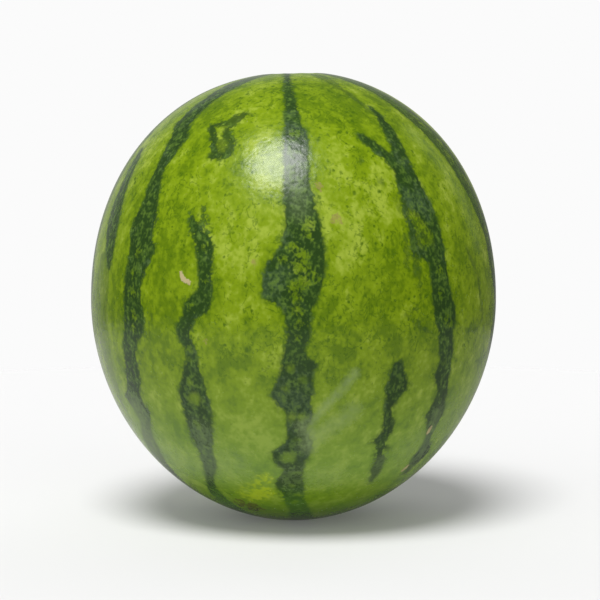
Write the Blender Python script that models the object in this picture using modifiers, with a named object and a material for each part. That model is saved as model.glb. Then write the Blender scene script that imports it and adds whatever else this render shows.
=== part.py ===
"""A whole watermelon, standing on its blossom end.

Metres, +Z up, with the stem end on top. The origin is the centre of the small flat spot that the
fruit rests on. The fruit grew as one piece, so it is one solid: the rind, the small basin at the
stem end with the dry stub of the stem in it, and the dimple with the corky blossom scar at the
foot.
"""

import math

import bmesh
import bpy

# Driving dimensions
WIDTH = 0.220  # across the equator
UPPER_HEIGHT = 0.1235  # from the equator up to the pole that the shoulders curve to
LOWER_HEIGHT = 0.1205  # from the equator down to the pole that the foot curves to
UPPER_POWER = 2.12  # above 2, the shoulders are fuller than an ellipse
LOWER_POWER = 1.95  # below 2, the foot is a little more pointed than one

FLAT_RADIUS = 0.020  # the flat spot that the fruit stands on
DIMPLE_RADIUS = 0.009  # the blossom end's dimple, inside that flat spot
DIMPLE_DEPTH = 0.0016
SCAR_RADIUS = 0.0042  # the corky button in the dimple
SCAR_HEIGHT = 0.0005

BASIN_DEPTH = 0.0056  # the stem basin, below where the shoulders would meet
BASIN_RADIUS = 0.0100  # where the basin has risen by two thirds
BASIN_POWER = 3  # above 2, its floor is flatter and its wall steeper
STUB_RADIUS = 0.0038
STUB_FLARE = 1.4  # the stub's foot, over its radius
STUB_LENGTH = 0.0040
STUB_LEAN = 0.0008  # how far its tip leans

FURROWS = 10  # the furrows that run down into the basin
FURROW_DEPTH = 0.0004
SWELL = 0.0006  # how far the fruit is from round
SWELL_TOWARDS = math.radians(45)
CROWN_TILT = 0.025  # the slope of the crown, so that its +X shoulder is the higher one
CROWN_RADIUS = 0.035  # where that slope has faded by two thirds

# Fineness of the mesh
SEGMENTS = 72
UPPER_RINGS = 20
LOWER_RINGS = 17
BASIN_RINGS = 7

SIDE = WIDTH / 2
BASIN_EDGE = 1.9 * BASIN_RADIUS  # the basin has run out here
STUB_FOOT = STUB_FLARE * STUB_RADIUS
WELD = 0.0001

RIND_GREEN = (0.226, 0.342, 0.024, 1.0)


def height_above_equator(radius, half_height, power):
    """How far the superellipse's curve is from the equator's plane, at this radius."""
    return half_height * (1 - (radius / SIDE) ** power) ** (1 / power)


EQUATOR_Z = height_above_equator(FLAT_RADIUS, LOWER_HEIGHT, LOWER_POWER)


def shoulder_z(radius):
    """The top of the fruit with the stem basin sunk into it."""
    dip = BASIN_DEPTH * math.exp(-((radius / BASIN_RADIUS) ** BASIN_POWER))
    return EQUATOR_Z + height_above_equator(radius, UPPER_HEIGHT, UPPER_POWER) - dip


def stub_profile():
    """The dry stub, from the middle of its sunken tip down to its flared foot."""
    floor = shoulder_z(STUB_FOOT)
    tip = floor + STUB_LENGTH
    return [
        (0.0, tip - 0.0009),
        (0.45 * STUB_RADIUS, tip - 0.0007),
        (0.80 * STUB_RADIUS, tip),
        (0.98 * STUB_RADIUS, tip - 0.0005),
        (0.94 * STUB_RADIUS, floor + 0.55 * STUB_LENGTH),
        (1.06 * STUB_RADIUS, floor + 0.22 * STUB_LENGTH),
        (STUB_FOOT, floor),
    ]


def basin_profile():
    """From the stub's foot out over the rim of the basin."""
    step = (BASIN_EDGE - STUB_FOOT) / BASIN_RINGS
    radii = [STUB_FOOT + step * ring for ring in range(1, BASIN_RINGS + 1)]
    return [(radius, shoulder_z(radius)) for radius in radii]


def upper_profile():
    """From the rim of the basin down to the equator, in equal steps of angle."""
    start = math.acos((BASIN_EDGE / SIDE) ** (UPPER_POWER / 2))
    angles = [start * (1 - ring / UPPER_RINGS) for ring in range(1, UPPER_RINGS + 1)]
    radii = [SIDE * math.cos(angle) ** (2 / UPPER_POWER) for angle in angles]
    return [(radius, shoulder_z(radius)) for radius in radii]


def lower_profile():
    """From below the equator to the edge of the flat spot."""
    end = math.acos((FLAT_RADIUS / SIDE) ** (LOWER_POWER / 2))
    angles = [end * ring / LOWER_RINGS for ring in range(1, LOWER_RINGS)]
    radii = [SIDE * math.cos(angle) ** (2 / LOWER_POWER) for angle in angles]
    curve = [
        (radius, EQUATOR_Z - height_above_equator(radius, LOWER_HEIGHT, LOWER_POWER))
        for radius in radii
    ]
    return curve + [(FLAT_RADIUS, 0.0)]


def foot_profile():
    """The flat spot's inner edge, and the dimple with the blossom scar in its middle."""
    scar_z = DIMPLE_DEPTH - SCAR_HEIGHT
    return [
        (DIMPLE_RADIUS, 0.0),
        (0.75 * DIMPLE_RADIUS, 0.6 * DIMPLE_DEPTH),
        (1.15 * SCAR_RADIUS, DIMPLE_DEPTH),
        (0.90 * SCAR_RADIUS, scar_z),
        (0.40 * SCAR_RADIUS, scar_z),
        (0.0, scar_z + 0.0003),
    ]


def turned(name, profile):
    """A closed mesh turned from a profile of (radius, height) that starts and ends on the axis."""
    line = bpy.data.meshes.new(name + "_profile")
    points = [(radius, 0.0, height) for radius, height in profile]
    edges = [(i, i + 1) for i in range(len(points) - 1)]
    line.from_pydata(points, edges, [])
    guide = bpy.data.objects.new(name + "_profile", line)
    bpy.context.scene.collection.objects.link(guide)

    screw = guide.modifiers.new("turn", "SCREW")
    screw.axis = "Z"
    screw.steps = screw.render_steps = SEGMENTS
    screw.use_merge_vertices = True
    screw.merge_threshold = WELD

    graph = bpy.context.evaluated_depsgraph_get()
    mesh = bpy.data.meshes.new_from_object(guide.evaluated_get(graph))
    mesh.name = name
    bpy.data.objects.remove(guide)
    bpy.data.meshes.remove(line)
    return mesh


def rise(value, start, end):
    """0 before start, 1 after end, and a smooth step between them."""
    share = min(1.0, max(0.0, (value - start) / (end - start)))
    return share * share * (3 - 2 * share)


def grown(point):
    """Where a point of the turned fruit lies on the real one, which isn't quite round or even."""
    x, y, z = point
    radius = math.hypot(x, y)
    turn = math.atan2(y, x)
    up = z > EQUATOR_Z

    if up and radius < STUB_FOOT - WELD:
        x += STUB_LEAN * (max(0.0, z - shoulder_z(STUB_FOOT)) / STUB_LENGTH) ** 1.5
    elif up:
        on_the_wall = rise(radius, STUB_FOOT, 1.5 * STUB_FOOT)
        on_the_wall -= rise(radius, BASIN_RADIUS, 1.7 * BASIN_RADIUS)
        z += FURROW_DEPTH * on_the_wall * math.cos(FURROWS * turn + 0.6 * math.sin(3 * turn))

    if up:
        z += CROWN_TILT * x * math.exp(-((radius / CROWN_RADIUS) ** 2))
    out = SWELL * (radius / SIDE) * math.cos(2 * (turn - SWELL_TOWARDS))
    x += out * math.cos(turn)
    y += out * math.sin(turn)
    return x, y, z


def rind_material():
    material = bpy.data.materials.new("rind")
    material.use_nodes = True
    shader = material.node_tree.nodes["Principled BSDF"]
    shader.inputs["Base Color"].default_value = RIND_GREEN
    shader.inputs["Roughness"].default_value = 0.38
    shader.inputs["Metallic"].default_value = 0.0
    material.diffuse_color = RIND_GREEN
    return material


def make_fruit(collection):
    profile = stub_profile() + basin_profile() + upper_profile() + lower_profile()
    mesh = turned("fruit", profile + foot_profile())
    shape = bmesh.new()
    shape.from_mesh(mesh)
    for vertex in shape.verts:
        vertex.co = grown(vertex.co[:])
    shape.to_mesh(mesh)
    shape.free()
    mesh.shade_smooth()
    mesh.set_sharp_from_angle(angle=math.radians(50))
    mesh.materials.append(rind_material())
    fruit = bpy.data.objects.new("fruit", mesh)
    collection.objects.link(fruit)
    return fruit


def main():
    for obj in list(bpy.data.objects):
        bpy.data.objects.remove(obj)
    collection = bpy.data.collections.new("watermelon")
    bpy.context.scene.collection.children.link(collection)
    make_fruit(collection)


main()
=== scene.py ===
"""The looks of the watermelon: a fine mesh of the fruit, with its markings and its waxy rind.

Metres, +Z up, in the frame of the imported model. A place on the fruit is given as (latitude,
longitude) in degrees. Latitude runs from 90 at the stem to -90 at the blossom end. Longitude 0
faces the camera, and it grows to the right. Every marking is worked out from such places, first
as smooth fields on the mesh, and then broken up by noise in the rind's material.
"""

import math
import random

import bpy
import numpy as np
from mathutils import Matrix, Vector, noise


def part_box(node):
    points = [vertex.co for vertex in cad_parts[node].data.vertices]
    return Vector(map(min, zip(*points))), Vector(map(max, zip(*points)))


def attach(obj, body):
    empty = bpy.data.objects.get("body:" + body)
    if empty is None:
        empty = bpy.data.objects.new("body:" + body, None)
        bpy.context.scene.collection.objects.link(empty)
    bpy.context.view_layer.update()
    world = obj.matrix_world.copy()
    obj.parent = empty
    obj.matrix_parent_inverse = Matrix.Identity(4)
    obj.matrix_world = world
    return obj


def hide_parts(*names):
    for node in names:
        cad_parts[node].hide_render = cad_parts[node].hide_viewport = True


MM = 0.001
WHITE = (1.0, 1.0, 1.0, 1.0)
BLACK = (0.0, 0.0, 0.0, 1.0)

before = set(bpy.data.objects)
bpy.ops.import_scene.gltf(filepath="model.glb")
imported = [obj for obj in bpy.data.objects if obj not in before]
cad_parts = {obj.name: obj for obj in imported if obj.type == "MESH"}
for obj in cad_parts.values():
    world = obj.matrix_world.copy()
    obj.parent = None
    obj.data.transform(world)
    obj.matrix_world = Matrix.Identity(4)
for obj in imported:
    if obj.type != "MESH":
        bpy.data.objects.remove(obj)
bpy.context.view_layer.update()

# The fruit's form, with the same values as the solid that it replaces
fruit_low, fruit_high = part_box("fruit")
SIDE = (fruit_high.x - fruit_low.x) / 2  # from the axis out to the equator
UPPER_HEIGHT = 0.1235  # from the equator up to the pole that the shoulders curve to
LOWER_HEIGHT = 0.1205  # from the equator down to the pole that the foot curves to
UPPER_POWER = 2.12  # above 2, the shoulders are fuller than an ellipse
LOWER_POWER = 1.95  # below 2, the foot is a little more pointed than one
FLAT_RADIUS = 0.020  # the flat spot that the fruit stands on
DIMPLE_RADIUS = 0.009  # the blossom end's dimple, inside that flat spot
DIMPLE_DEPTH = 0.0016
SCAR_RADIUS = 0.0042  # the corky button in the dimple
SCAR_HEIGHT = 0.0005
SCAR_HOLLOW = 0.0003  # how far the button's middle is sunk
BASIN_DEPTH = 0.0056  # the stem basin, below where the shoulders would meet
BASIN_RADIUS = 0.0100  # where the basin has risen by two thirds
BASIN_POWER = 3  # above 2, its floor is flatter and its wall steeper
BASIN_EDGE = 1.9 * BASIN_RADIUS  # the basin has run out here
STUB_RADIUS = 0.0038
STUB_FOOT = 1.4 * STUB_RADIUS  # where the stub flares out into the basin's floor
STUB_LENGTH = 0.0040
STUB_LEAN = 0.0008  # how far its tip leans
FURROWS = 10  # the furrows that run down into the basin
FURROW_DEPTH = 0.0004
SWELL = 0.0006  # how far the fruit is from round
SWELL_TOWARDS = math.radians(45)
CROWN_TILT = 0.025  # the slope of the crown, so that its +X shoulder is the higher one
CROWN_RADIUS = 0.035  # where that slope has faded by two thirds

# Fineness of the shown mesh
SEGMENTS = 400
BASIN_RINGS = 22
UPPER_RINGS = 78
LOWER_RINGS = 84
STUB_STEPS = 4  # rings for each point of the stub's profile
FOOT_STEPS = 3  # and of the foot's

# Each stripe in sight: its strength, from 0 to 1, and (latitude, left longitude, right longitude)
# from the stem down, wherever an edge turns
STRIPES = {
    "centre": (1.0, [
        (86, -20, -6), (75, -9, -3), (70, -7, -1.5), (60, -4.5, 1.5), (50, -3.3, 3.4),
        (45, -4, 5.5), (35, -3, 5), (30, -3, 5.4), (25, -2.7, 6.6), (20, -2, 8), (15, -3.5, 8.5),
        (12, -7, 8.5), (8, -8, 8), (4.5, -8, 6.5), (3.2, -6.5, 6), (2, -2.2, 4.8), (-5, -1.6, 4.5),
        (-7.5, -2.2, 3), (-10, -3, 4), (-11.5, -3.2, 7.5), (-13, -3.3, 5.3), (-17, -5, 5.5),
        (-19, -6.4, 5.5), (-22, -4.6, 4.6), (-24, -2.2, 5.8), (-26.5, -2, 5.4), (-28.2, -1.8, 4.2),
        (-30.6, -2, 4.4), (-33, -2.6, 6), (-36.8, -7.4, 5.4), (-40, -6.3, 4), (-42.5, -3, 3.2),
        (-45, -5, 3.8), (-48, -8, 4), (-52.5, -6, 4.5), (-58.2, -3.6, 6.4), (-64, -2.6, 10.5),
        (-72, -3, 16), (-84, -12, 26),
    ]),
    "left": (1.0, [
        (23, -30.2, -29.8), (21, -30.2, -28), (18.5, -29, -24), (16.5, -27.8, -22),
        (12.5, -26.3, -21.6), (8, -25.6, -21.4), (5, -25.8, -21.2), (3.5, -29, -21.5),
        (1, -30, -22), (0, -30.3, -26), (-2.5, -32, -27.3), (-5, -32, -28), (-8, -30, -26.6),
        (-11, -29.8, -26.3), (-15, -31.6, -25.4), (-20, -34, -24.6), (-23, -33.8, -24.3),
        (-28, -34, -25), (-33, -34.4, -26.4), (-37.3, -33.9, -28.4), (-42, -35.2, -28.8),
        (-47, -37.4, -33.8), (-53, -44, -37.3), (-56.5, -46.5, -37), (-66, -52, -38),
        (-80, -60, -40),
    ]),
    "far left": (1.0, [
        (86, -66, -40), (70, -61, -43), (60, -57, -46), (50, -57, -46.5), (45, -52.5, -42.6),
        (40, -51, -44), (35, -50.6, -46), (30, -50.6, -44.7), (25, -50, -43.2), (22, -52.3, -42),
        (17, -52.2, -42.8), (14.5, -51, -40), (12, -51, -41.5), (9, -51.6, -43), (5, -52.3, -45),
        (1, -52, -43.8), (-2, -52, -43), (-5, -52.2, -43.7), (-7.6, -53.2, -46.5),
        (-11.8, -54, -48.2), (-16, -54.8, -47.8), (-20.8, -57, -50), (-23.4, -61, -50.8),
        (-27, -57.8, -48.8), (-30.4, -57.2, -51.5), (-35.3, -62.8, -55.2), (-38.8, -66.5, -55.4),
        (-45, -70, -60), (-60, -78, -66), (-80, -90, -70),
    ]),
    "left limb": (0.95, [
        (41, -72, -69), (37, -71, -65.5), (32, -70, -64), (27, -69.5, -63), (23, -69.5, -61.5),
        (19, -69, -60.5), (15, -67, -60), (11, -64.5, -60), (8, -63.5, -61),
    ]),
    "left limb, wash": (0.3, [
        (12, -69, -64), (8, -71, -61), (2, -71.5, -61), (-5, -71, -61.5), (-12, -70, -62),
        (-18, -69.5, -63), (-26, -68, -65), (-32, -67.5, -66.5),
    ]),
    "left limb, outer": (0.5, [
        (80, -100, -84), (60, -92, -79), (45, -86, -77), (30, -84, -76), (20, -84, -77),
        (12, -82, -78),
    ]),
    "lower right": (1.0, [
        (-11.2, 28.6, 30.6), (-12.2, 27.8, 31), (-16, 26.9, 33), (-18.4, 26.5, 34.6),
        (-21, 27.2, 31.8), (-24.3, 27.8, 30.2), (-26.5, 28, 31), (-28.3, 28.5, 32.5),
        (-31, 28.8, 32.8), (-33.6, 26.2, 31.4), (-34.8, 28.6, 31.4), (-36, 29.2, 34.6),
        (-37, 29.3, 32), (-40.2, 30.8, 34.8), (-44, 30.6, 35.6), (-46.5, 32.5, 35.6),
        (-49, 34, 35.4),
    ]),
    "right": (1.0, [
        (57, 39.2, 40.6), (54, 38.8, 42.4), (48, 37.2, 43.4), (43, 37.4, 42.8), (39, 35.4, 42.6),
        (36, 33.4, 42), (32, 33.8, 43.4), (27, 33.2, 44.2), (25, 36, 45), (21.2, 38.8, 45.5),
        (18, 42, 46), (15.6, 42.4, 46.3), (14.9, 37, 46.4), (13.6, 35.4, 46.6), (12.2, 36.4, 46.5),
        (10.8, 39.6, 46.5), (5, 40, 47), (0, 40.6, 49.8), (-2, 41.2, 50), (-5, 42.7, 48.5),
        (-10, 43.5, 50), (-12.3, 44.5, 49.4), (-16.8, 43, 50.2), (-20.5, 46.8, 51.8),
        (-23.8, 46, 52), (-27.5, 44.6, 53.8), (-29.6, 46.4, 53.4), (-33.2, 49.8, 52.8),
        (-35.8, 51, 54), (-38, 51.2, 57.6), (-40.4, 49.8, 59.2), (-42.6, 50.6, 58.8),
        (-45.2, 51, 56.4), (-48, 52.5, 55),
    ]),
    "right, inner prong": (1.0, [
        (46, 24.6, 27.4), (43.5, 25.6, 31.4), (41, 27.8, 33.6), (38.8, 30.6, 36.4), (36, 33, 38.4),
    ]),
    "right, inner rail": (0.9, [
        (27, 33, 36), (24.5, 33.2, 36.2), (21, 33.5, 36.2), (18, 33.8, 36.8), (14.5, 34, 37),
        (12, 34.2, 36.6),
    ]),
    "right, inner rail, low": (0.4, [
        (12.5, 34.8, 36.4), (8, 35.2, 36.6), (3, 35.2, 36.2),
    ]),
    "right, between": (0.75, [
        (25, 35.6, 38), (21, 36, 40.5), (17.5, 36.6, 43.5), (14, 37, 43),
    ]),
    "right, above": (0.45, [
        (80, 24, 40), (68, 29, 35), (60, 33.5, 36.8), (54, 36.6, 38.6),
    ]),
    "right limb": (0.82, [
        (84, 44, 78), (66, 57, 76), (55, 58.5, 77), (50, 60.5, 75), (45, 62.5, 79), (40, 64.5, 78),
        (35, 66, 80), (30, 67.5, 78.5), (25, 69.5, 80), (20, 71.5, 82), (15, 73.5, 84),
        (10, 74, 82), (5, 76, 86), (0, 79, 84), (-5, 77.5, 85), (-7, 75.5, 86), (-11, 76.5, 88),
        (-14, 81, 91), (-18, 84, 92), (-25, 85, 97), (-33, 90, 98), (-42, 90, 103), (-50, 95, 106),
        (-65, 97, 114), (-80, 98, 124),
    ]),
    "right limb, faint": (0.45, [
        (14, 56.8, 57.8), (11, 58, 60), (7.5, 60.6, 62.4), (4, 62, 63.4), (0, 63.2, 65),
        (-3, 64, 65.2),
    ]),
}

# Stripes out of sight are of the same kind, grown by rule: (longitude, half width, top and bottom
# latitude), in degrees
BACK_STRIPES = [
    (97, 4.0, 56, -4), (112, 4.6, 86, -82), (130, 3.2, 30, -60), (149, 5.0, 86, -82),
    (172, 4.4, 86, -60), (190, 3.6, 22, -82), (207, 4.8, 86, -82), (231, 3.4, 70, -30),
    (249, 4.8, 86, -82), (266, 3.2, 16, -70), (278, 3.8, 86, -44),
]
BACK_STRENGTH = 0.95
SPUR_CHANCE = 0.18
SPUR_WIDTH = 1.8  # over the width of the stripe there

# Dark lines and spots off the stripes: (strength, half width in mm, places)
DARK_LINES = [
    # spots between the centre stripe and the right one
    (0.4, 1.3, [(37.5, 22.8)]),
    (0.4, 1.3, [(31.8, 27.6), (30.8, 28.4)]),
    (0.35, 1.6, [(51, 16.5)]),
    # the hooked patch between the centre stripe and the far left one
    (0.8, 3.4, [(53.0, -22.2), (51.6, -24.6), (50.2, -26.4)]),
    (0.45, 1.4, [(54.0, -20.4), (53.6, -18.8)]),
    (0.9, 2.1, [(50, -27), (49.8, -30), (49.2, -33.6)]),
    (0.95, 2.3, [(48.8, -33.8), (46.4, -32), (43.4, -29.6), (39.8, -27.2)]),
    (0.88, 2.1, [(49.4, -25.6), (46, -26.4), (43.6, -22.4), (40.2, -22)]),
    (0.95, 2.5, [(38.8, -28.0), (38.9, -25.2), (39.8, -22.4)]),
    (0.6, 3.2, [(43, -26.6), (41.4, -25.4)]),
    # thin branches and marks beside the stripes
    (0.6, 0.8, [(35.7, -11.5)]),
    (0.4, 0.8, [(0.2, -40.2), (-6.8, -41.8), (-12.8, -46.8)]),
    (0.7, 1.1, [(14.4, 32.5), (11, 32)]),
    (0.35, 0.8, [(27.5, 31.9), (23.5, 32)]),
    (0.8, 0.9, [(24.5, -26.5), (22.6, -26), (20.5, -24.6)]),
    (0.8, 1.0, [(22.5, -26.8), (20, -26.6)]),
    (0.4, 1.6, [(17.2, 32.3), (14, 32.2), (11, 32)]),
    (0.5, 1.3, [(11.8, 34.8), (8.6, 34.5)]),
    (0.45, 0.8, [(-36.5, 31), (-36.8, 35)]),
    (0.5, 0.55, [(-5, 53.5), (-5.4, 57.5), (-5.8, 61.5)]),
    (0.4, 1.3, [(0, 31.5), (1.5, 34.8)]),
    (0.45, 1.2, [(-2, 34.5), (-3.4, 36.4), (-4.5, 38.8)]),
]

# Where the edges of the stripes are more ragged: (latitude, longitude, mm, strength)
RAGGED = [
    (45, -27, 16, 0.3), (52, -24, 7, 0.3), (20, -26, 9, 1.0), (37, 29, 8, 0.5), (14, 32, 8, 0.3),
    (-2, 34, 10, 0.8), (21, 35, 10, 0.3), (68, 1, 12, 0.6), (-37, 31, 7, 0.6), (-54, -4, 8, 0.8),
    (9, -47, 60, 0.25),
]

# Light islands in the stripes: (latitude, longitude, radius in mm)
ISLANDS = [
    (46, 1, 2.8), (21, 4.2, 2.4), (18.3, 4.5, 2.0), (15.2, 0.4, 2.2), (13.4, 2.6, 3.0),
    (10.8, 1.2, 3.4), (10.4, 3.6, 2.4), (7.6, 2.8, 3.2), (6.2, 0.4, 3.2), (4.2, 0.8, 2.4),
    (8.5, 6.0, 1.7), (12.6, -2.6, 1.6), (1.6, 1.2, 2.4), (-1.4, 1.4, 2.0), (-4.6, 1.2, 1.2),
    (-12.4, -0.6, 2.2), (-15.4, 2.7, 2.3), (-17.6, -2.0, 1.9), (-25.6, -0.4, 2.4),
    (-25.6, 2.2, 2.5), (-38, -1.6, 4.2), (-32, 1.5, 1.5), (-21.2, -29, 4.0), (-8, -28.4, 1.8),
    (1.5, -27.6, 1.3), (-28.6, -30.2, 2.3), (-16.8, -29.4, 1.3), (13, -47.3, 1.6), (8, -48.4, 1.6),
    (4, -48.2, 1.7), (-1, -47.6, 2.1), (-4, -47.9, 1.5), (22.4, 36.0, 2.3), (9, 43.8, 1.6),
    (-1.5, 45.6, 1.7), (-3, 47.5, 1.3), (4, 43.4, 1.3), (-13, 46.5, 1.4), (47.8, -29, 1.4),
    (42, -25.6, 1.2), (49.5, 69.5, 3.0), (43, 72, 2.4), (38, 70.5, 3.2), (31, 74.5, 3.0),
    (24, 75, 2.6), (17.5, 78, 3.6), (8.5, 79, 3.0), (1, 81, 2.6), (-10, 85.5, 3.4),
    (-21, 88.5, 3.0), (-30, 92.5, 3.6), (-44, 97, 3.0), (22, 37.2, 2.2), (19.6, 38.8, 2.8),
    (17.2, 41, 2.4), (15.8, 38.6, 2.6), (-43.6, 1.8, 1.4), (-49, -0.6, 1.8), (-53.4, 2.6, 1.7),
    (-57.5, 0.6, 2.0), (-11, -29, 1.4), (15, -24.4, 1.4), (7.4, -23.4, 1.6), (19, 3.0, 1.6),
    (16, 40, 1.6),
]

# Where the green between the stripes is lighter (+) or deeper (-) than usual:
# (latitude, longitude, mm, strength)
TONES = [
    (25, -9, 34, 0.7), (16, -13, 26, 0.6), (27, 18, 24, 1.3), (18, 12, 22, 0.4), (6, -17, 20, 0.4),
    (-22, -15, 30, 0.3), (-38, 14, 26, 0.3), (3, 20, 32, -0.9), (-4, 12, 22, -0.5),
    (2, 35, 18, -0.7), (12, 31, 16, -0.6), (62, 10, 20, -0.7), (52, 14, 18, -0.4),
    (9, -35, 18, -1.5), (-3, -39, 16, -0.7), (-11, -20, 16, -0.8), (-4, -7, 18, -0.5),
    (38, -33, 22, -0.5), (60, -14, 18, 0.5), (-10, 25, 16, 0.4), (-12, 60, 40, -0.4),
    (-64, 30, 22, -0.5), (-52, -24, 12, 0.3), (-50, 8, 34, 1.0), (29, -24, 14, 1.1),
    (29, -7, 12, 1.0), (17, -25, 10, 1.2), (20, 27, 12, 0.9), (6, -12, 10, 0.9), (6, 11, 10, 1.1),
    (55, -46, 18, -0.9), (5, -56, 24, -0.9), (-2.5, 15, 12, -1.2), (53, 25, 12, -1.1),
    (-25, -47, 14, 0.5), (-52, 34, 14, 0.5), (18, -8, 12, 0.6), (-31, -12, 14, 0.5),
    (-43, -18, 12, 0.6), (-38, 19, 12, 0.4), (63, 4, 12, -2.0), (52, -40, 14, -1.0),
    (56, 38, 14, -0.6), (-50, 14, 12, -0.5),
]

# Where dark veins and specks crowd together (+) or are few (-): (latitude, longitude, mm, strength)
SPECKLED = [
    (66, 8, 22, 0.9), (55, 13, 18, 0.8), (66, -14, 20, 0.8), (45, -20, 12, 0.5), (32, -38, 24, 0.4),
    (22, -34, 18, 0.4), (32, 19, 16, 0.6), (20, -12, 22, 0.3), (2, 22, 36, 0.5), (-6, 8, 26, 0.6),
    (-6, -12, 28, 0.6), (-1, 34, 16, 0.6), (16, 20, 26, 0.3), (-28, 16, 26, -0.5),
    (-30, -16, 40, -0.6),
]

# Where the stripes are greyer than usual, mostly in their own tone; at (46, 0) it is painted
# highlight haze beside the key light's highlight: (latitude, longitude, mm, strength)
GREYISH_AND_SHEEN = [
    (9, -6, 12, 0.6), (46, 0, 12, 0.7), (-22, 1, 16, 0.7), (-36, 3, 14, 0.6), (-32, -30, 14, 0.8),
    (-42, -33, 14, 0.8), (26, 39, 12, 0.8), (-28, -55, 18, 0.8), (60, -50, 20, 0.5),
    (-55, 0, 14, 0.5), (-36, 54, 12, 0.5),
]

# The yellower skin that lay on the ground, and the russet beside it:
# (latitude, longitude, mm, strength)
YELLOWED = [(-45.5, -10.5, 6, 0.8), (-51, -14.5, 9, 1.0), (-55, -20, 9, 0.9), (-90, 0, 30, 0.4)]
RUSSETED = [(-61, -28, 6, 0.9), (-62.5, -24, 6, 0.8), (-58.8, -31, 5, 0.6)]

# Pale bloom and rubbed places, with a painted highlight in one row and painted reflection in two:
# (strength, half width in mm, softness in mm, places)
BLOOM_AND_SHEEN = [
    (1.0, 1.1, 3.2, [(-14, 16.8), (-17.5, 14.2), (-21.8, 9.8), (-27, 5.2)]),
    (1.0, 2.2, 6.0, [(-28, 3.5), (-31.5, 5.5), (-34, 5)]),
    (0.7, 2.0, 7.0, [(-24, 17.5), (-26, 15.2), (-28.5, 11), (-31.5, 7)]),
    # partly bloom and partly painted reflection of the pale floor, low on the left: this row and the
    # next
    (0.4, 5.0, 14.0, [(-41, -22), (-43, -40), (-40, -54)]),
    (0.85, 5.0, 10.0, [(-27, -56), (-32, -57.5), (-40, -62)]),
    (0.45, 3.0, 10.0, [(-31, -29), (-40, -32)]),
    (0.35, 5.0, 16.0, [(-28, 56), (-38, 46)]),
    (0.5, 2.0, 7.0, [(-27, 50), (-33, 51.5)]),
    (0.3, 4.0, 12.0, [(-45, -1), (-46, 14)]),
    (0.3, 3.0, 9.0, [(46, 54), (35, 60), (25, 63.5), (15, 65)]),
    # painted highlight: the key light's highlight, widened over the centre stripe
    (0.3, 3.0, 7.0, [(33, 1), (24, 2)]),
    (0.4, 2.0, 5.0, [(-40, 33), (-48, 34.5)]),
    (0.45, 2.0, 6.0, [(-37, 54), (-46, 54)]),
]

# Healed scratches and nicks: (half width in mm, places)
TAN_SCARS = [
    (1.2, [(9, -31), (7.6, -30.2), (7, -28.2)]),
    (0.8, [(50.5, -19)]),
    (1.3, [(-31.4, 50.2), (-33, 49.8)]),
    (1.2, [(-44.6, 51), (-46.2, 50)]),
]
PINK_SCARS = [
    (1.5, [(31, 7.6), (29.5, 8.2)]),
    (1.3, [(23, 12.4), (21.6, 11.2), (21.4, 13.4)]),
    (0.9, [(12.4, -10.6), (11, -10)]),
    (0.8, [(-6, -23.6), (-6.8, -22.9)]),
    (0.7, [(27.5, -33)]),
]


def part_way(value, start, end):
    """0 before start, 1 after end, and a smooth step between them."""
    share = np.clip((value - start) / (end - start), 0, 1)
    return share * share * (3 - 2 * share)


def half_height(radius, height, power):
    """How far the superellipse's curve is from the equator's plane, at this radius."""
    return height * (1 - (radius / SIDE) ** power) ** (1 / power)


EQUATOR_Z = half_height(FLAT_RADIUS, LOWER_HEIGHT, LOWER_POWER)


def shoulder_z(radius):
    """The top of the fruit, with the stem basin sunk into it."""
    dip = BASIN_DEPTH * np.exp(-((radius / BASIN_RADIUS) ** BASIN_POWER))
    return EQUATOR_Z + half_height(radius, UPPER_HEIGHT, UPPER_POWER) - dip


def grown(points):
    """Where points of the turned form lie on the real fruit, as in the solid."""
    x, y, z = points.T.copy()
    radius = np.hypot(x, y)
    turn = np.arctan2(y, x)
    up = z > EQUATOR_Z
    stub = up & (radius < STUB_FOOT - 0.1 * MM)
    climb = np.clip((z - shoulder_z(STUB_FOOT)) / STUB_LENGTH, 0, None)
    x = x + np.where(stub, STUB_LEAN * climb**1.5, 0)
    on_wall = part_way(radius, STUB_FOOT, 1.5 * STUB_FOOT)
    on_wall = on_wall - part_way(radius, BASIN_RADIUS, 1.7 * BASIN_RADIUS)
    furrow = FURROW_DEPTH * on_wall * np.cos(FURROWS * turn + 0.6 * np.sin(3 * turn))
    z = z + np.where(up & ~stub, furrow, 0)
    z = z + np.where(up, CROWN_TILT * x * np.exp(-((radius / CROWN_RADIUS) ** 2)), 0)
    out = SWELL * (radius / SIDE) * np.cos(2 * (turn - SWELL_TOWARDS))
    return np.stack([x + out * np.cos(turn), y + out * np.sin(turn), z], -1)


def turned_radius(latitude):
    """How far the turned form's surface is from the axis, at this latitude."""
    power = np.where(latitude >= 0, UPPER_POWER, LOWER_POWER)
    return SIDE * np.cos(np.radians(latitude)) ** (2 / power)


def turned_height(latitude):
    share = np.abs(np.sin(np.radians(latitude)))
    below = EQUATOR_Z - LOWER_HEIGHT * share ** (2 / LOWER_POWER)
    return np.where(latitude >= 0, shoulder_z(turned_radius(latitude)), np.maximum(below, 0))


def latitude_of(radius, power):
    """How many degrees above or below the equator this radius is."""
    return math.degrees(math.acos(min(1.0, (radius / SIDE) ** (power / 2))))


def place(latitude, longitude):
    """The point on the fruit at this latitude and longitude."""
    radius = float(turned_radius(latitude))
    turn = math.radians(longitude)
    height = float(turned_height(latitude))
    spot = np.array([[radius * math.sin(turn), -radius * math.cos(turn), height]])
    return grown(spot)[0]


def smooth_through(points, steps):
    """Points along a smooth (Catmull-Rom) curve through these, without the first."""
    ends = np.array([points[0], *points, points[-1]])
    curve = []
    for before, start, end, after in zip(ends, ends[1:], ends[2:], ends[3:]):
        for share in np.arange(1, steps + 1) / steps:
            bend = (2 * before - 5 * start + 4 * end - after) * share**2
            twist = (3 * start - before - 3 * end + after) * share**3
            curve.append(tuple(0.5 * (2 * start + (end - before) * share + bend + twist)))
    return curve


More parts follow.
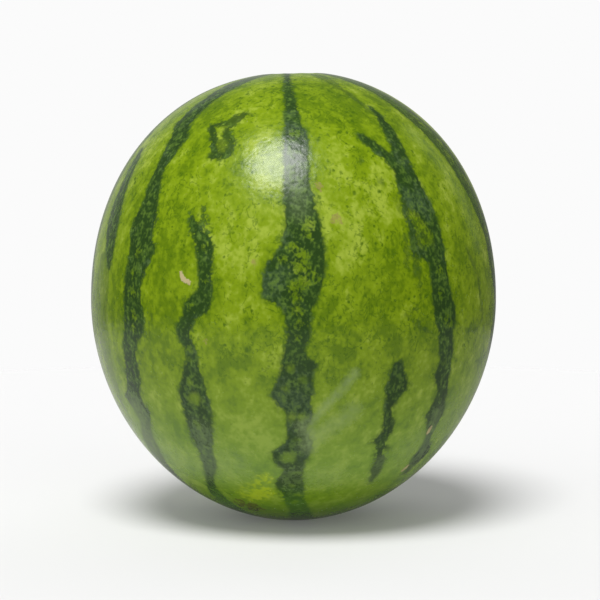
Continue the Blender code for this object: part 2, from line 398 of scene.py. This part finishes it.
def stub_rings():
    """(radius, height) of the dry stub's rings, from its sunken tip down to its flared foot."""
    floor = float(shoulder_z(STUB_FOOT))
    tip = floor + STUB_LENGTH
    return smooth_through([
        (0.0, tip - 0.0009),
        (0.45 * STUB_RADIUS, tip - 0.0007),
        (0.80 * STUB_RADIUS, tip),
        (0.98 * STUB_RADIUS, tip - 0.0005),
        (0.94 * STUB_RADIUS, floor + 0.55 * STUB_LENGTH),
        (1.06 * STUB_RADIUS, floor + 0.22 * STUB_LENGTH),
        (STUB_FOOT, floor),
    ], STUB_STEPS)


def foot_rings():
    """(radius, height) of the foot's rings, from the flat spot in to the middle of the scar."""
    scar_z = DIMPLE_DEPTH - SCAR_HEIGHT
    curve = smooth_through([
        (FLAT_RADIUS, 0.0),
        (DIMPLE_RADIUS, 0.0),
        (0.75 * DIMPLE_RADIUS, 0.6 * DIMPLE_DEPTH),
        (1.15 * SCAR_RADIUS, DIMPLE_DEPTH),
        (0.90 * SCAR_RADIUS, scar_z),
        (0.40 * SCAR_RADIUS, scar_z),
        (0.0, scar_z + SCAR_HOLLOW),
    ], FOOT_STEPS)
    return [(max(radius, 0.0), max(height, 0.0)) for radius, height in curve]


def rings():
    """(radius, height, latitude) of every ring, from the stub's tip to the blossom scar."""
    found = [(radius, z, latitude_of(radius, UPPER_POWER)) for radius, z in stub_rings()]
    for step in range(1, BASIN_RINGS + 1):
        radius = STUB_FOOT + (BASIN_EDGE - STUB_FOOT) * step / BASIN_RINGS
        found.append((radius, float(shoulder_z(radius)), latitude_of(radius, UPPER_POWER)))
    start = found[-1][2]
    for step in range(1, UPPER_RINGS + 1):
        latitude = start * (1 - step / UPPER_RINGS)
        found.append((float(turned_radius(latitude)), float(turned_height(latitude)), latitude))
    end = -latitude_of(FLAT_RADIUS, LOWER_POWER)
    for step in range(1, LOWER_RINGS + 1):
        latitude = end * step / LOWER_RINGS
        found.append((float(turned_radius(latitude)), float(turned_height(latitude)), latitude))
    found += [(radius, z, -latitude_of(radius, LOWER_POWER)) for radius, z in foot_rings()]
    return found


def turned_faces(ring_count):
    """Triangles round the two ends, upper and lower by turns, and then the bands from the top down."""
    last = 1 + ring_count * SEGMENTS
    bottom = last - SEGMENTS
    faces = []
    for i in range(SEGMENTS):
        j = (i + 1) % SEGMENTS
        faces.append((0, 1 + i, 1 + j))
        faces.append((last, bottom + j, bottom + i))
    for ring in range(ring_count - 1):
        upper = 1 + ring * SEGMENTS
        lower = upper + SEGMENTS
        for i in range(SEGMENTS):
            j = (i + 1) % SEGMENTS
            faces.append((upper + i, lower + i, lower + j, upper + j))
    return faces


def fruit_mesh():
    """The turned mesh, and the place, latitude and longitude of each of its vertices."""
    profile = rings()
    _, foot_z, _ = profile.pop()
    turns = np.radians(-180 + 360 * np.arange(SEGMENTS) / SEGMENTS)
    points = [(0.0, 0.0, profile[0][1])]
    latitudes = [90.0]
    longitudes = [0.0]
    for radius, height, latitude in profile:
        points += [(radius * math.sin(turn), -radius * math.cos(turn), height) for turn in turns]
        latitudes += [latitude] * SEGMENTS
        longitudes += list(np.degrees(turns))
    points.append((0.0, 0.0, foot_z))
    latitudes.append(-90.0)
    longitudes.append(0.0)

    mesh = bpy.data.meshes.new("rind")
    points = grown(np.array(points))
    mesh.from_pydata(points.tolist(), [], turned_faces(len(profile)))
    mesh.shade_smooth()
    return mesh, points, np.array(latitudes), np.array(longitudes)


def add_map(mesh, latitude):
    """A UV map for the bake: longitude across and latitude up, cut open at the back.

    It follows the order of the faces and their corners in turned_faces, in steps round the fruit.
    """
    corners = np.zeros(len(mesh.loops), np.int32)
    mesh.loops.foreach_get("vertex_index", corners)
    step = np.arange(SEGMENTS)[:, None]
    caps = np.hstack([step + (0.5, 0, 1), step + (0.5, 1, 0)]).ravel()
    wall = (step + (0, 0, 1, 1)).ravel()
    bands = (len(corners) - len(caps)) // len(wall)
    across = np.concatenate([caps, np.tile(wall, bands)]) / SEGMENTS
    up = (latitude[corners] + 90) / 180
    layer = mesh.uv_layers.new(name="OFBake")
    layer.data.foreach_set("uv", np.stack([across, up], -1).astype(np.float32).ravel())


# A stripe's edge is followed in fine steps of latitude, to past its ends, and its corners are
# rounded over some of those steps
FINE_STEP = 0.25
PAST_ENDS = 4
ROUNDING = 2.4
ROUNDING_REACH = 6

FAR = 30  # mm inside or outside a marking, past which nothing changes
MM_PER_DEGREE = 2  # about how long a degree of latitude is, and the least that one of longitude is


def wander(points, size, seed):
    """Smooth noise, about -1 to 1, in bumps of about this size."""
    shift = Vector((17.3 * seed, 9.1 * seed, 5.7 * seed))
    return np.array([noise.noise(Vector(point) / size + shift) for point in points])


def edges_at(rows, latitude):
    """A stripe's left edge, its slope, its right edge and its slope, with its corners rounded."""
    top, bottom = rows[0][0], rows[-1][0]
    fine = np.arange(bottom - PAST_ENDS, top + PAST_ENDS, FINE_STEP)
    rows = np.array(rows[::-1], float)
    reach = np.arange(-ROUNDING_REACH, ROUNDING_REACH + 1)
    weights = np.exp(-((reach / ROUNDING) ** 2))
    weights /= weights.sum()
    found = []
    for column in (1, 2):
        edge = np.interp(fine, rows[:, 0], rows[:, column])
        edge = np.convolve(np.pad(edge, ROUNDING_REACH, mode="edge"), weights, mode="valid")
        found.append(np.interp(latitude, fine, edge))
        found.append(np.interp(latitude, fine, np.gradient(edge, fine)))
    return found


def stripe_depth(rows, latitude, longitude):
    """How far inside the stripe each place is, in mm, and below 0 outside it."""
    around = np.radians(1) * turned_radius(latitude) / MM
    along = np.radians(1) * LOWER_HEIGHT / MM
    left, left_slope, right, right_slope = edges_at(rows, latitude)
    from_left = (longitude - left) * around / np.hypot(1, left_slope * around / along)
    from_right = (right - longitude) * around / np.hypot(1, right_slope * around / along)
    from_ends = np.minimum(rows[0][0] - latitude, latitude - rows[-1][0]) * along
    return np.minimum(np.minimum(from_left, from_right), from_ends)


def grown_stripe(middle, half_width, top, bottom):
    """Rows for a stripe that wanders, swells, narrows and puts out spurs, and its islands."""
    pick = random.Random(round(middle))
    rows, islands = [(top, middle - 1, middle + 1)], []
    drift = pick.uniform(-1, 1)
    latitude = top - pick.uniform(3, 6)
    while latitude > bottom + 2:
        drift = 0.75 * drift + pick.uniform(-1.6, 1.6)
        reach = 1 / max(0.3, math.cos(math.radians(latitude))) ** 0.5
        left = half_width * reach * pick.uniform(0.45, 1.05)
        right = half_width * reach * pick.uniform(0.45, 1.05)
        if pick.random() < SPUR_CHANCE:
            left *= SPUR_WIDTH
        if pick.random() < SPUR_CHANCE:
            right *= SPUR_WIDTH
        rows.append((latitude, middle + drift - left, middle + drift + right))
        if left + right > 1.5 * half_width and abs(latitude) < 55:
            islands.append((latitude, middle + drift + (right - left) / 2, pick.uniform(1.2, 3.4)))
        latitude -= pick.uniform(1.6, 5.0)
    rows.append((bottom, middle + drift - 1, middle + drift + 1))
    return rows, islands


def line_depth(points, places, half_width):
    """How far inside a line of this half width each point is, in mm, and below 0 outside it.

    A line with one place is a round spot.
    """
    spots = [place(*spot) for spot in places]
    nearest = np.full(len(points), np.inf)
    for start, end in zip(spots, spots[1:] or spots):
        along = end - start
        share = np.clip(((points - start) @ along) / max(along @ along, 1e-12), 0, 1)
        reach = np.linalg.norm(points - start - share[:, None] * along, axis=1)
        nearest = np.minimum(nearest, reach)
    return half_width - nearest / MM


def deepest(points, lines):
    """How far inside any of these (half width, places) lines each point is, in mm."""
    return np.max([line_depth(points, places, half_width) for half_width, places in lines], axis=0)


def spread(points, spots):
    """The sum of soft round patches: (latitude, longitude, mm, strength)."""
    total = np.zeros(len(points))
    for latitude, longitude, size, strength in spots:
        away = np.linalg.norm(points - place(latitude, longitude), axis=1) / (size * MM)
        total += strength * np.exp(-(away**2))
    return total


def stripe_fields(points, latitude, longitude):
    """How far inside a stripe each point is, how dark that is, and how far inside an island.

    The stripes' edges waver, by up to about a millimetre across and along them.
    """
    across = 0.6 * wander(points, 0.011, 1) + 0.3 * wander(points, 0.005, 2)
    around = np.radians(1) * turned_radius(latitude) / MM
    longitude = longitude + across / np.maximum(MM_PER_DEGREE, around)
    along = 0.6 * wander(points, 0.010, 3) + 0.3 * wander(points, 0.0045, 4)
    latitude = np.clip(latitude + along / MM_PER_DEGREE, -90, 90)

    stripes = list(STRIPES.values())
    islands = list(ISLANDS)
    for back_stripe in BACK_STRIPES:
        rows, more = grown_stripe(*back_stripe)
        stripes.append((BACK_STRENGTH, rows))
        islands += more

    found = []
    for strength, rows in stripes:
        middle = (rows[0][1] + rows[-1][1]) / 2
        wrapped = middle + (longitude - middle + 180) % 360 - 180
        found.append((strength, stripe_depth(rows, latitude, wrapped)))
    for strength, half_width, places in DARK_LINES:
        found.append((strength, line_depth(points, places, half_width)))

    depths = np.full(len(points), -FAR)
    strengths = np.ones(len(points))
    for strength, depth in found:
        strengths = np.where(depth > depths, strength, strengths)
        depths = np.maximum(depths, depth)
    in_island = deepest(points, [(radius, [spot]) for *spot, radius in islands])
    return depths, strengths, in_island


def bloom_and_sheen_field(points):
    """How thick the pale bloom, with its painted highlight and painted reflection, is, from 0 to 1."""
    bloom_and_sheen = np.zeros(len(points))
    for strength, half_width, softness, places in BLOOM_AND_SHEEN:
        shown = part_way(line_depth(points, places, half_width), -softness, softness / 3)
        bloom_and_sheen = np.maximum(bloom_and_sheen, strength * shown)
    return bloom_and_sheen


def markings(points, latitude, longitude):
    """Every smooth field that the rind's material reads, by name.

    Depths are in mm. Going down the fruit, the islands lose their crumbled edges and the specks
    thin out, and the green grows paler and bluer as a painted reflection of the pale floor; at the
    foot it is brighter and clearer again as painted light.
    """
    south = -latitude
    stripe, strength, island = stripe_fields(points, latitude, longitude)
    away = np.hypot(points[:, 0], points[:, 1])
    cork_radius = np.where(points[:, 2] > EQUATOR_Z, STUB_FOOT, 1.1 * SCAR_RADIUS)
    depths = {
        "stripe_mm": stripe,
        "island_mm": island,
        "tan_mm": deepest(points, TAN_SCARS),
        "pink_mm": deepest(points, PINK_SCARS),
        "cork_mm": (cork_radius - away) / MM,
    }
    fields = {name: np.clip(depth, -FAR, FAR) for name, depth in depths.items()}

    speckled = spread(points, SPECKLED) + 0.5 * wander(points, 0.035, 6)
    fields.update({
        "stripe_strength": strength,
        # pale bloom, with a painted highlight and painted reflection in some places
        "bloom_and_sheen": bloom_and_sheen_field(points),
        "crumbly": part_way(latitude, -16, 0),
        # greyer stripes, and painted highlight haze at (46, 0)
        "greyish_and_sheen": spread(points, GREYISH_AND_SHEEN) - 0.25,
        "ragged": spread(points, RAGGED),
        # where the painted reflection of the pale floor lies, low on the fruit
        "low": part_way(south, 5, 45) - part_way(south, 46, 58),
        # where painted light makes the foot's green brighter and clearer
        "foot": part_way(south, 46, 62),
        "tone": spread(points, TONES) + 0.8 * wander(points, 0.045, 5),
        "speckled": speckled - 1.2 * part_way(south, 5, 30),
        "yellowed": spread(points, YELLOWED),
        "russeted": spread(points, RUSSETED),
    })
    return fields


class Tree:
    """Builds the nodes of a material or the world. A value is a number, a colour or a socket."""

    def __init__(self, owner):
        owner.use_nodes = True
        self.nodes = owner.node_tree.nodes
        self.links = owner.node_tree.links
        self.nodes.clear()

    def give(self, socket, value):
        if isinstance(value, bpy.types.NodeSocket):
            self.links.new(value, socket)
        else:
            socket.default_value = value

    def node(self, kind, values=None, **settings):
        made = self.nodes.new(kind)
        for name, value in settings.items():
            setattr(made, name, value)
        for name, value in (values or {}).items():
            self.give(made.inputs[name], value)
        return made

    def math(self, operation, first, second=0.0):
        return self.node("ShaderNodeMath", {0: first, 1: second}, operation=operation).outputs[0]

    def add(self, *values):
        total = values[0]
        for value in values[1:]:
            total = self.math("ADD", total, value)
        return total

    def times(self, first, second):
        return self.math("MULTIPLY", first, second)

    def ramp(self, value, start, end, low=0.0, high=1.0, curve="SMOOTHSTEP"):
        """low before start, high after end, and a step between them that is smooth or LINEAR."""
        inputs = {"Value": value, "From Min": start, "From Max": end, "To Min": low, "To Max": high}
        return self.node("ShaderNodeMapRange", inputs, interpolation_type=curve).outputs["Result"]

    def mix(self, share, colour, other):
        """The colour, changed to the other by this share."""
        made = self.node("ShaderNodeMix", data_type="RGBA", clamp_factor=True)
        for number, value in ((0, share), (6, colour), (7, other)):
            self.give(made.inputs[number], value)
        return made.outputs[2]

    def field(self, name):
        return self.node("ShaderNodeAttribute", attribute_name=name).outputs["Fac"]

    def millimetres(self, *stretch):
        """The place on the object in millimetres, times this much along X, Y and Z."""
        at = self.node("ShaderNodeTexCoord").outputs["Object"]
        scale = tuple(share / MM for share in stretch)
        return self.node("ShaderNodeMapping", {"Vector": at, "Scale": scale}).outputs[0]

    def noise(self, at, size, detail=2.0, roughness=0.5, warp=0.0):
        """Noise from about -0.5 to 0.5, in grains of about this size in millimetres."""
        inputs = {"Vector": at, "Scale": 1 / size, "Detail": detail}
        inputs.update({"Roughness": roughness, "Distortion": warp})
        made = self.node("ShaderNodeTexNoise", inputs, noise_dimensions="3D")
        return self.math("SUBTRACT", made.outputs["Fac"], 0.5)

    def dots(self, at, spacing, radius, share):
        """Soft dots of this radius in millimetres, in this share of cells of this spacing."""
        made = self.node("ShaderNodeTexVoronoi", {"Vector": at, "Scale": 1 / spacing})
        dot = self.ramp(made.outputs["Distance"], 1.4 * radius / spacing, 0.5 * radius / spacing)
        red = self.node("ShaderNodeSeparateColor", {"Color": made.outputs["Color"]}).outputs[0]
        return self.times(dot, self.math("LESS_THAN", red, share))

    def surface(self, inputs):
        """The material's surface, with these values on the shader's own sockets."""
        shader = self.node("ShaderNodeBsdfPrincipled", inputs)
        self.node("ShaderNodeOutputMaterial", {"Surface": shader.outputs[0]})


class RindTree(Tree):
    """The rind's nodes, with three noises that its layers share."""

    def __init__(self, material):
        super().__init__(material)
        self.at = self.millimetres(1.0, 1.0, 0.85)
        self.shared = {
            "grain": self.noise(self.at, 1.4, 1.0, 0.5),
            "small": self.noise(self.at, 3.0, 1.5, 0.6),
            "middle": self.noise(self.at, 6.0, 2.0, 0.6),
        }

    def rough(self, **amounts):
        """The sum of this much of each shared noise."""
        return self.add(*(self.times(self.shared[name], much) for name, much in amounts.items()))

    def broken(self, value, **amounts):
        """The value, broken up by this much of each shared noise where it is high."""
        return self.add(value, self.times(value, self.rough(**amounts)))


def linear(*display):
    """A colour from its red, green and blue display values of 0 to 255."""
    shares = [value / 255 for value in display]
    light = [
        share / 12.92 if share <= 0.04045 else ((share + 0.055) / 1.055) ** 2.4
        for share in shares
    ]
    return (*light, 1.0)


LIGHT_GREEN = linear(146, 166, 52)
MAIN_GREEN = linear(117, 142, 8)
DEEP_GREEN = linear(88, 115, 1)
VEIN_GREEN = linear(58, 90, 1)
# painted reflection of the pale floor
PAINTED_FLOOR_HAZE = linear(120, 160, 78)
STRIPE_DARK = linear(38, 62, 20)
STRIPE_MID = linear(46, 74, 22)
STRIPE_GREY = linear(60, 82, 52)
STRIPE_SPOT = linear(88, 116, 40)
# pale bloom, also the colour of the painted highlight and painted reflection
BLOOM_AND_SHEEN_GREY = linear(142, 162, 106)
TAN = linear(172, 160, 116)
PINK = linear(138, 126, 70)
GROUND_YELLOW = linear(170, 190, 24)
# painted light at the foot
PAINTED_FOOT_LIGHT = linear(98, 150, 1)
RUSSET = linear(82, 70, 14)
CORK_LIGHT = linear(140, 118, 84)
CORK_DARK = linear(70, 52, 34)

# The wax on the rind
WAX_ROUGHNESS = 0.24
WAX_IOR = 1.45
WAX_SPECULAR = 0.36
DRY_ROUGHNESS = 0.8  # of cork and healed scars
BASIN_ROUGHER = 0.3  # by how much the stem basin is less glossy


def ground_colour(tree):
    """The cloudy green between the stripes, with its veins and specks."""
    cloud = tree.noise(tree.at, 14.0, 3.4, 0.85)
    tone = tree.add(tree.times(tree.field("tone"), 0.5), tree.times(cloud, 7.5))
    colour = tree.mix(tree.ramp(tone, -1.3, 0.2), DEEP_GREEN, MAIN_GREEN)
    colour = tree.mix(tree.ramp(tone, 0.0, 1.5), colour, LIGHT_GREEN)
    # painted reflection of the pale floor: paler, bluer green low on the fruit
    colour = tree.mix(tree.times(tree.field("low"), 0.35), colour, PAINTED_FLOOR_HAZE)

    crowding = tree.field("speckled")
    patches = tree.noise(tree.at, 9.0, 2.0, 0.5)
    wobble = tree.node("ShaderNodeTexNoise", {"Vector": tree.at, "Scale": 0.5, "Detail": 1.0})
    shift = {0: tree.at, 1: wobble.outputs["Color"]}
    bent = tree.node("ShaderNodeVectorMath", shift, operation="ADD").outputs[0]
    specks = tree.math("MAXIMUM", tree.dots(bent, 3.4, 0.75, 0.3), tree.dots(bent, 6.0, 1.1, 0.3))
    shown = tree.ramp(tree.add(tree.times(crowding, 0.25), patches), -0.04, 0.16)
    colour = tree.mix(tree.times(tree.times(specks, shown), 0.75), colour, VEIN_GREEN)

    ridge = tree.math("ABSOLUTE", tree.noise(tree.at, 5.5, 2.0, 0.55, 0.6))
    gaps = tree.add(tree.times(crowding, 0.2), patches, tree.rough(small=0.6, grain=1.2))
    veins = tree.times(tree.ramp(ridge, 0.06, 0.0), tree.ramp(gaps, 0.0, 0.22))
    return tree.mix(tree.times(veins, 0.55), colour, VEIN_GREEN)


def stripe_colour(tree, stripe):
    """The dark green of the stripes, which is mottled grey and has lighter spots."""
    mottle = tree.noise(tree.at, 6.0, 2.0, 0.75)
    # partly the stripes' own grey, partly painted highlight haze near the highlight
    greyish_and_sheen = tree.field("greyish_and_sheen")
    clouds = tree.add(tree.noise(tree.at, 9.0, 2.0, 0.6), tree.times(greyish_and_sheen, 0.4))
    soft = tree.mix(tree.ramp(clouds, -0.1, 0.12), STRIPE_MID, STRIPE_GREY)
    lightness = tree.add(mottle, tree.rough(grain=0.6), tree.times(greyish_and_sheen, 0.15))
    colour = tree.mix(tree.ramp(lightness, -0.2, 0.2), STRIPE_DARK, soft)
    core = tree.ramp(stripe, 0.5, 4.5, -0.05, 0.06)
    spots = tree.add(tree.rough(grain=0.6, small=0.8), tree.times(mottle, 0.5), core)
    return tree.mix(tree.times(tree.ramp(spots, -0.05, 0.37), 0.75), colour, STRIPE_SPOT)


def with_stripes(tree, colour):
    """The stripes over the ground, with a greener fringe, grainy edges and light islands."""
    stripe = tree.field("stripe_mm")
    strength = tree.field("stripe_strength")
    torn = tree.times(tree.field("ragged"), tree.rough(small=5.0, grain=5.0))
    edge = tree.add(stripe, tree.rough(middle=2.8, small=2.4, grain=1.5), torn)
    fringe = tree.ramp(tree.add(edge, tree.rough(small=4.0)), -3.2, 0.4)
    colour = tree.mix(tree.times(tree.times(fringe, 0.4), strength), colour, VEIN_GREEN)
    crumbs = tree.times(tree.field("crumbly"), tree.rough(small=3.0, grain=9.0))
    island = tree.add(tree.field("island_mm"), tree.rough(small=3.0), crumbs)
    shown = tree.times(tree.ramp(edge, -1.1, 1.1), tree.ramp(island, 2.4, -1.6, 0.1, 1.0))
    return tree.mix(tree.times(shown, strength), colour, stripe_colour(tree, stripe))


def with_foot(tree, colour):
    """The foot's painted light, a brighter and clearer green, its yellower patch and the russet beside
    it.
    """
    # painted light: a brighter, clearer green at the foot
    colour = tree.mix(tree.times(tree.field("foot"), 0.45), colour, PAINTED_FOOT_LIGHT)
    yellowed = tree.broken(tree.field("yellowed"), middle=2.2, small=2.6, grain=0.8)
    colour = tree.mix(tree.times(tree.ramp(yellowed, 0.3, 1.5), 0.7), colour, GROUND_YELLOW)
    russeted = tree.broken(tree.field("russeted"), small=5.0, grain=2.0)
    return tree.mix(tree.times(tree.ramp(russeted, 0.4, 0.9), 0.65), colour, RUSSET)


def rind_material():
    """Layers of colour, each over the one before, under one coat of wax."""
    material = bpy.data.materials.new("rind")
    tree = RindTree(material)
    wear = tree.ramp(tree.rough(small=1.0, grain=0.8), -0.4, 0.3, 0.5, 1.0)
    bloom_and_sheen = tree.times(tree.field("bloom_and_sheen"), wear)
    pink = tree.ramp(tree.add(tree.field("pink_mm"), tree.rough(grain=4.0, small=2.0)), -0.6, 0.7)
    tan = tree.ramp(tree.add(tree.field("tan_mm"), tree.rough(grain=1.6)), -0.35, 0.35)
    cork = tree.ramp(tree.add(tree.field("cork_mm"), tree.rough(grain=1.5)), -0.6, 0.5)
    fibres = tree.noise(tree.millimetres(1.0, 1.0, 0.2), 0.5, 3.0, 0.6)
    cork_colour = tree.mix(tree.ramp(fibres, -0.2, 0.2), CORK_DARK, CORK_LIGHT)

    colour = with_foot(tree, with_stripes(tree, ground_colour(tree)))
    # pale bloom, and in some places a painted highlight and painted reflection
    colour = tree.mix(tree.times(bloom_and_sheen, 0.6), colour, BLOOM_AND_SHEEN_GREY)
    colour = tree.mix(tree.times(pink, 0.65), colour, PINK)
    colour = tree.mix(tan, colour, TAN)
    colour = tree.mix(cork, colour, cork_colour)

    dry = tree.times(tree.math("MAXIMUM", cork, tan), DRY_ROUGHNESS)
    basin = tree.ramp(tree.field("cork_mm"), -16.0, -7.0, 0.0, BASIN_ROUGHER)
    uneven = tree.rough(grain=0.10, middle=0.12)
    wax = tree.add(WAX_ROUGHNESS, uneven, tree.times(bloom_and_sheen, 0.22), basin)
    relief = tree.add(tree.rough(small=0.08, middle=0.14), tree.times(tan, 0.15))
    relief = tree.add(relief, tree.times(cork, tree.times(fibres, 0.6)))
    bump = tree.node("ShaderNodeBump", {"Height": relief, "Distance": MM, "Strength": 1.0})
    tree.surface({
        "Base Color": colour,
        "Roughness": tree.math("MAXIMUM", wax, dry),
        "Normal": bump.outputs[0],
        "IOR": WAX_IOR,
        "Specular IOR Level": WAX_SPECULAR,
    })
    return material


def make_fruit():
    mesh, points, latitude, longitude = fruit_mesh()
    for name, values in markings(points, latitude, longitude).items():
        field = mesh.attributes.new(name, "FLOAT", "POINT")
        field.data.foreach_set("value", values.astype(np.float32))
    add_map(mesh, latitude)
    mesh.materials.append(rind_material())
    fruit = bpy.data.objects.new("watermelon", mesh)
    bpy.context.scene.collection.objects.link(fruit)
    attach(fruit, "root")
    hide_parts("fruit")


# The floor, which is as bright as the backdrop
FLOOR_RADIUS = 0.7
FLOOR_SIDES = 128
FLOOR_DROP = 0.2 * MM  # below the fruit, so that their faces don't fight
FLOOR_WHITE = (0.613, 0.613, 0.613, 1.0)
FLOOR_GLOW = 0.09

# Painted shade in the wax's reflection of the floor: the wax mirrors less of the floor than the
# camera sees. It leaves out a share that grows from left to right, as a painted shaded side, and
# all of the floor beneath the fruit, as its painted contact shadow, fading to none at BENEATH_EDGE
LEFT_X = -0.15
RIGHT_X = 0.2
LEFT_SHARE = 0.2
RIGHT_SHARE = 0.65
BENEATH_RADIUS = 0.055
BENEATH_EDGE = 0.095
BENEATH_SHARE = 1.0


def floor_material():
    material = bpy.data.materials.new("floor")
    tree = Tree(material)
    at = tree.node("ShaderNodeTexCoord").outputs["Object"]
    across = tree.node("ShaderNodeSeparateXYZ", {"Vector": at}).outputs["X"]
    away = tree.node("ShaderNodeVectorMath", {0: at}, operation="LENGTH").outputs["Value"]
    sideways = tree.ramp(across, LEFT_X, RIGHT_X, LEFT_SHARE, RIGHT_SHARE)
    beneath = tree.ramp(away, BENEATH_RADIUS, BENEATH_EDGE, BENEATH_SHARE, 0.0)
    mirrored = tree.node("ShaderNodeLightPath").outputs["Is Glossy Ray"]
    # painted shade, seen only in the wax's reflections of the floor
    mirrored_painted_shade = tree.times(mirrored, tree.math("MAXIMUM", sideways, beneath))
    tree.surface({
        "Base Color": tree.mix(mirrored_painted_shade, FLOOR_WHITE, BLACK),
        "Roughness": 1.0,
        "Specular IOR Level": 0.0,
        "Emission Color": WHITE,
        "Emission Strength": FLOOR_GLOW,
    })
    return material


def make_floor():
    """A pale round table top."""
    turns = np.linspace(0, 2 * math.pi, FLOOR_SIDES, endpoint=False)
    edge = [
        (FLOOR_RADIUS * math.cos(turn), FLOOR_RADIUS * math.sin(turn), -FLOOR_DROP)
        for turn in turns
    ]
    mesh = bpy.data.meshes.new("floor")
    mesh.from_pydata(edge, [], [tuple(range(FLOOR_SIDES))])
    mesh.materials.append(floor_material())
    floor = bpy.data.objects.new("floor", mesh)
    bpy.context.scene.collection.objects.link(floor)


# Distant soft lamps: (name, azimuth, elevation, how many degrees of sky it fills, W/m2 at the
# fruit, whether the wax mirrors it). Azimuth 0 is the camera's side, and it grows to the right
LAMPS = [
    ("key", -17, 65.5, 27, 3.2, True),
    ("front fill", -16, 8, 140, 1.5, False),
    ("left rim", -125, 18, 50, 0.3, False),
    ("right rim", 130, 25, 50, 0.2, False),
    ("back fill", 175, 35, 80, 0.7, False),
]


def make_lamp(name, azimuth, elevation, size, strength, mirrored):
    lamp = bpy.data.lights.new(name, "SUN")
    lamp.angle = math.radians(size)
    lamp.energy = strength
    light = bpy.data.objects.new(name, lamp)
    side, up = math.radians(azimuth), math.radians(elevation)
    away = Vector((math.sin(side) * math.cos(up), -math.cos(side) * math.cos(up), math.sin(up)))
    light.location = away
    light.visible_glossy = mirrored
    light.rotation_euler = away.to_track_quat("Z", "Y").to_euler()
    bpy.context.scene.collection.objects.link(light)


# The surround: dim, with a lit wall behind the fruit, whose edge is given as cosines of the angle
# from its middle. The camera sees all of it as bright as the floor
SURROUND = 0.12
WALL = 0.5
WALL_TOWARDS = (-0.26, 0.966, 0.0)
WALL_START = 0.78
WALL_FULL = 0.95
BACKDROP = 0.965


def make_world():
    world = bpy.data.worlds.new("studio")
    tree = Tree(world)
    both = {0: tree.node("ShaderNodeTexCoord").outputs["Generated"], 1: WALL_TOWARDS}
    facing = tree.node("ShaderNodeVectorMath", both, operation="DOT_PRODUCT").outputs["Value"]
    lit = tree.ramp(facing, WALL_START, WALL_FULL, SURROUND, WALL, "LINEAR")
    seen = tree.node("ShaderNodeLightPath").outputs["Is Camera Ray"]
    strength = tree.ramp(seen, 0.0, 1.0, lit, BACKDROP, "LINEAR")
    background = tree.node("ShaderNodeBackground", {"Color": WHITE, "Strength": strength})
    tree.node("ShaderNodeOutputWorld", {"Surface": background.outputs[0]})
    bpy.context.scene.world = world


CAMERA_ELEVATION = math.radians(5)
CAMERA_DISTANCE = 1.15
CAMERA_LENS = 126.4
CAMERA_AIM = Vector((0.0034, 0.0, EQUATOR_Z - 0.0003))


def make_camera():
    camera = bpy.data.cameras.new("camera")
    camera.lens = CAMERA_LENS
    view = bpy.data.objects.new("camera", camera)
    back = Vector((0, -math.cos(CAMERA_ELEVATION), math.sin(CAMERA_ELEVATION)))
    view.location = CAMERA_AIM + back * CAMERA_DISTANCE
    view.rotation_euler = back.to_track_quat("Z", "Y").to_euler()
    bpy.context.scene.collection.objects.link(view)
    bpy.context.scene.camera = view


make_fruit()
make_floor()
for lamp in LAMPS:
    make_lamp(*lamp)
make_world()
make_camera()
bpy.context.scene.view_settings.view_transform = "Standard"
